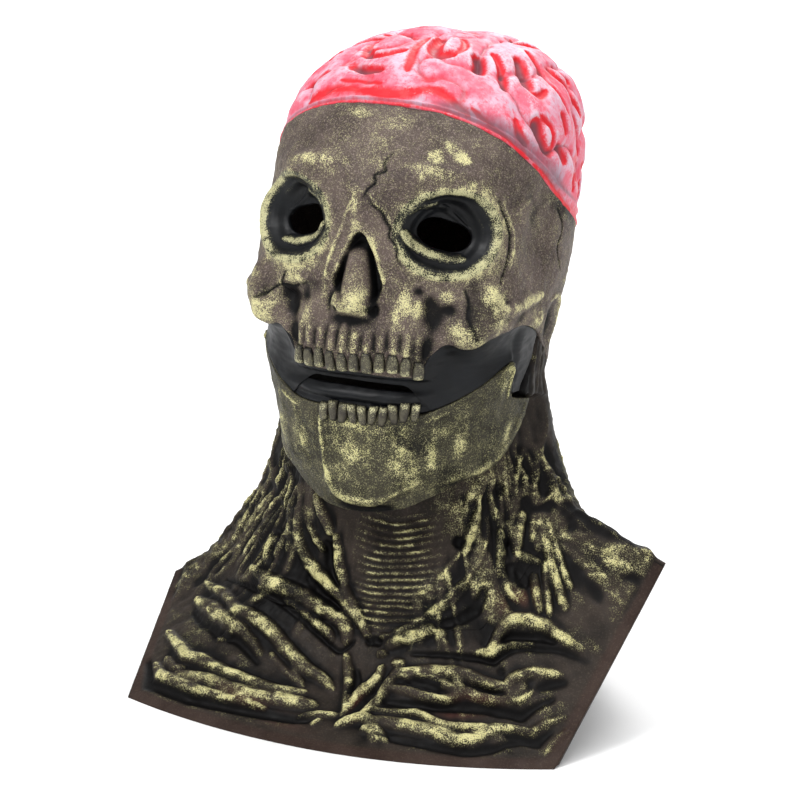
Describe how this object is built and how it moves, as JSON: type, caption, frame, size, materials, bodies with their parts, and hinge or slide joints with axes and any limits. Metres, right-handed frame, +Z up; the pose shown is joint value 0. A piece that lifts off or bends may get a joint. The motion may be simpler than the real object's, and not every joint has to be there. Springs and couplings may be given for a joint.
{
  "type": "latex halloween mask",
  "caption": "Full-head latex skull mask with an exposed brain dome, open eye holes, a hinged lower jaw and a ribbed chest and shoulder bib.",
  "frame": {"origin": "middle of the bounding box in plan, at the level hem the mask stands on", "axes": "+Z up from the hem to the crown, -Y the way the face looks, +X the wearer's left"},
  "size_m": [0.3106, 0.2532, 0.3925],
  "materials": {
    "bone_latex": "matte, dry-brushed pale yellow on the high spots",
    "socket_latex": "smooth satin black",
    "tooth_latex": "matte, stained",
    "brain_latex": "satin pink with red folds",
    "flesh_latex": "matte, dry-brushed pale yellow on tendons and ribs"
  },
  "bodies": {
    "mask": {"brain_cap": "brain_latex", "skull_shell": "bone_latex", "eye_socket_left": "socket_latex", "eye_socket_right": "socket_latex", "nose_cartilage": "bone_latex", "upper_teeth": "tooth_latex", "mouth_liner": "socket_latex", "neck_sleeve": "flesh_latex", "front_bib": "flesh_latex", "back_bib": "flesh_latex"},
    "jaw": {"jaw_shell": "bone_latex", "lower_teeth": "tooth_latex", "lower_lip": "socket_latex"}
  },
  "joints": [
    {"name": "jaw_open", "type": "hinge", "parent": "mask", "child": "jaw", "pos_m": [-0.00747, 0.01515, 0.205], "axis": [1, 0, 0], "range_deg": [0, 8], "stiffness_Nm_per_rad": 0.6, "springref_deg": -14.32}
  ]
}
